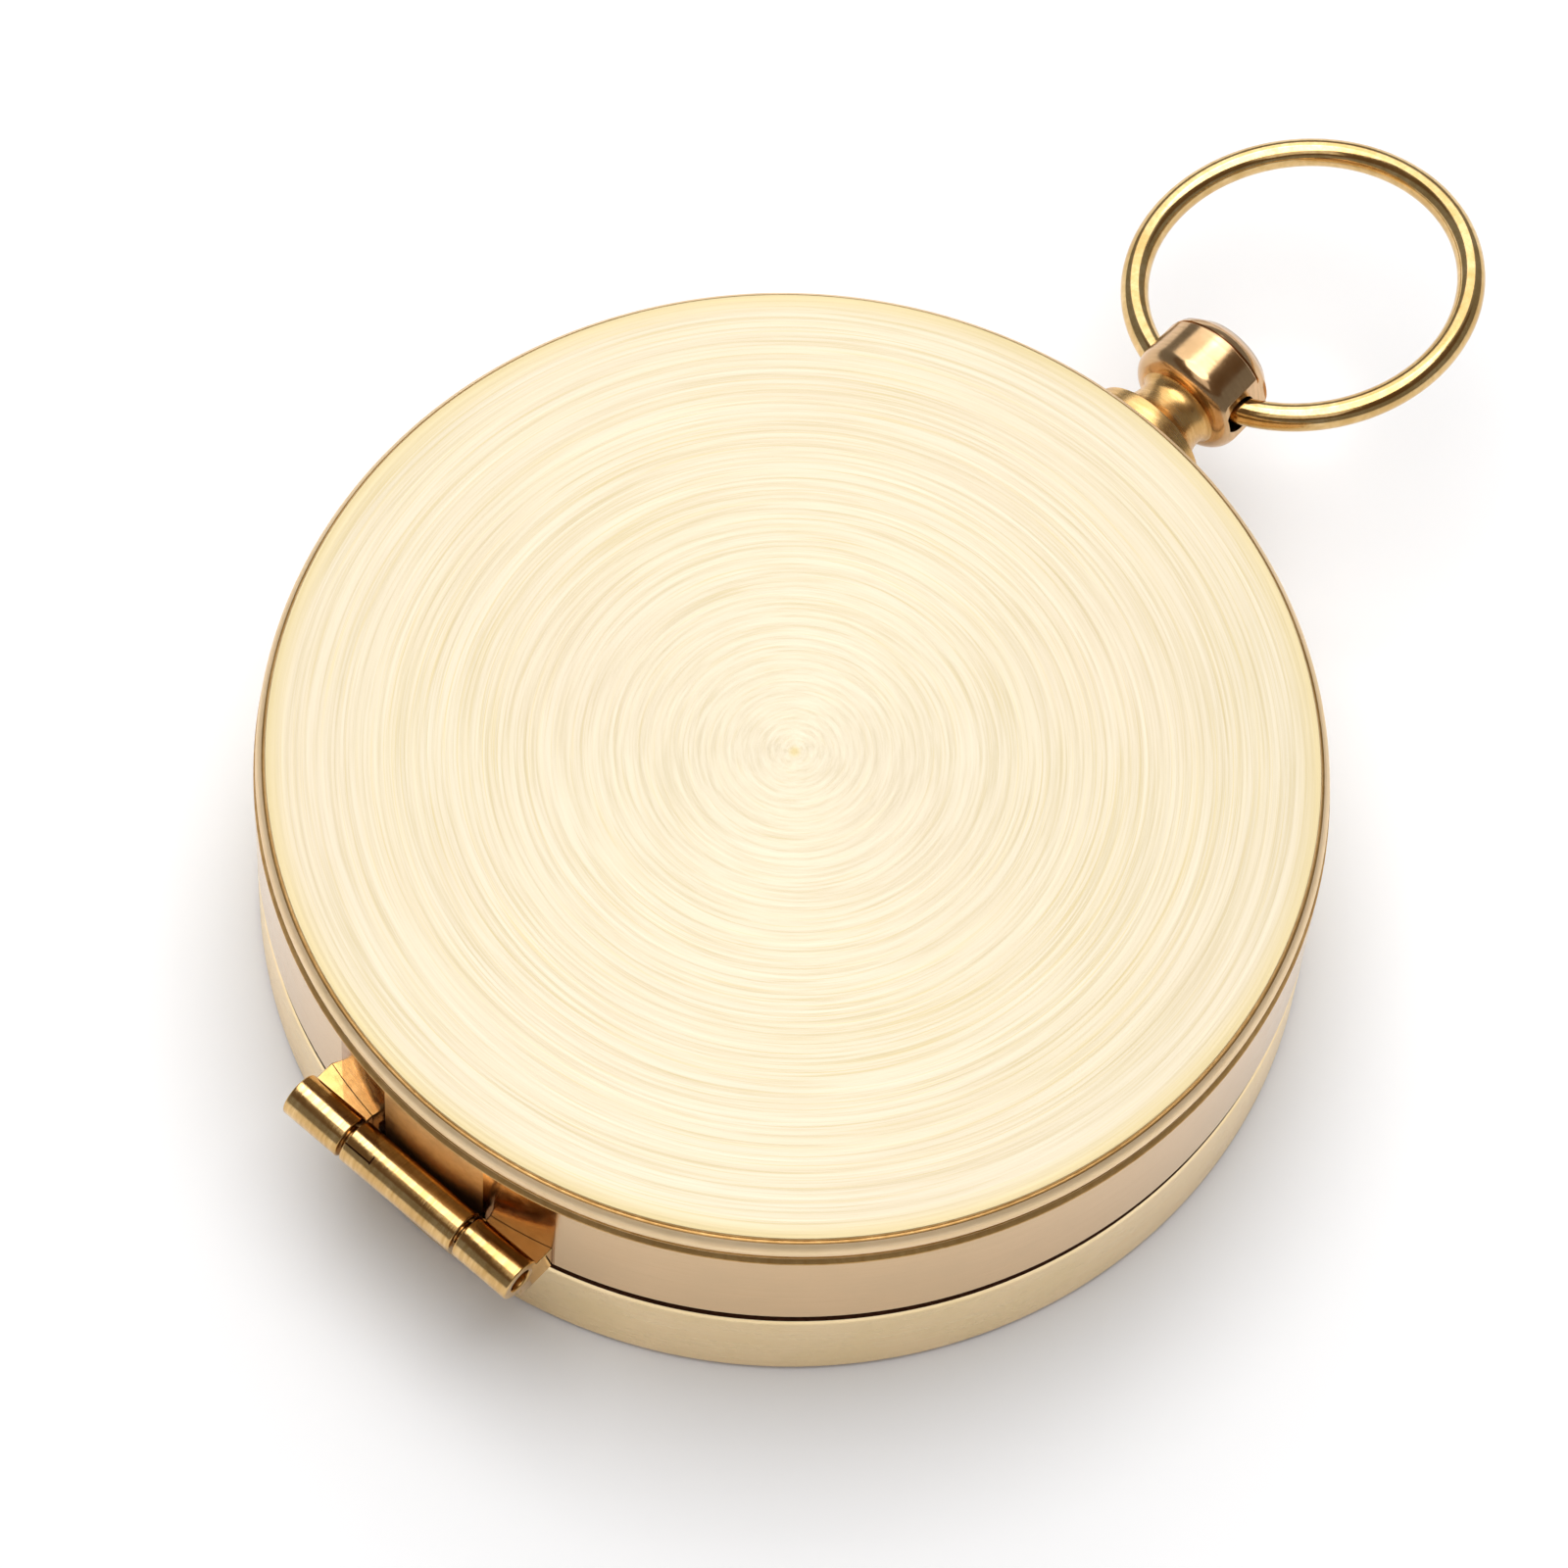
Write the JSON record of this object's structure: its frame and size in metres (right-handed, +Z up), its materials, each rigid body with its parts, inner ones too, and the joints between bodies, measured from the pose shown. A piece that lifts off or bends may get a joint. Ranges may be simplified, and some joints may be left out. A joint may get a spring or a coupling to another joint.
{
  "type": "pocket sundial",
  "caption": "Round hinged brass pocket case with a turned pendant and swinging bow, holding a glazed compass and an hour ring with a folding gnomon.",
  "frame": {"origin": "centre of the base's flat underside, where the closed case rests", "axes": "+Z up out of the lid's face, hinge at -Y, pendant and bow at +Y, X parallel to the hinge pin"},
  "size_m": [0.05, 0.0737, 0.0141],
  "materials": {
    "polished_brass": "mirror polished, lacquered",
    "brushed_brass": "face brushed in circles, wall polished",
    "silvered_dial": "silvered matt, engraved",
    "steel": "turned bright steel",
    "blued_steel": "heat blued",
    "silvered_card": "printed thin brass disc, cream ground",
    "glass": "clear flat glass",
    "leather": "thin leather packing"
  },
  "bodies": {
    "base": {"base_shell": "polished_brass", "base_knuckle": "polished_brass", "compass_card": "silvered_card", "bowl_ring": "polished_brass", "pivot_boss": "polished_brass", "needle_pivot": "steel", "compass_glass": "glass", "glass_gasket": "leather", "hour_ring": "silvered_dial", "hour_screw_1": "steel", "hour_screw_2": "steel", "hour_screw_3": "steel", "hour_screw_4": "steel", "gnomon_lug_south": "polished_brass", "gnomon_lug_north": "polished_brass", "gnomon_spring": "steel"},
    "lid": {"lid_shell": "brushed_brass", "lid_knuckle_left": "polished_brass", "lid_knuckle_right": "polished_brass", "hinge_pin": "steel", "pendant_post": "polished_brass", "pendant_nut": "polished_brass"},
    "bow": {"bow_ring": "polished_brass"},
    "gnomon": {"gnomon": "polished_brass"},
    "needle": {"compass_needle": "blued_steel", "needle_cap": "polished_brass"}
  },
  "joints": [
    {"name": "lid_hinge", "type": "hinge", "parent": "base", "child": "lid", "pos_m": [0, -0.0262, 0.00815], "axis": [1, 0, 0], "range_deg": [0, 180]},
    {"name": "bow_swing", "type": "hinge", "parent": "lid", "child": "bow", "pos_m": [0, 0.02956, 0.01], "axis": [0.9781, 0, 0.2079], "range_deg": [-110, 130]},
    {"name": "gnomon_fold", "type": "hinge", "parent": "base", "child": "gnomon", "pos_m": [0, 0, 0.0069], "axis": [0, -1, 0], "range_deg": [0, 90]},
    {"name": "needle_turn", "type": "hinge", "parent": "base", "child": "needle", "pos_m": [0, 0, 0.0028], "axis": [0, 0, 1], "continuous": true}
  ],
  "couplings": [
    {"joint": "gnomon_fold", "follows": "lid_hinge", "ratio": 0.5}
  ]
}
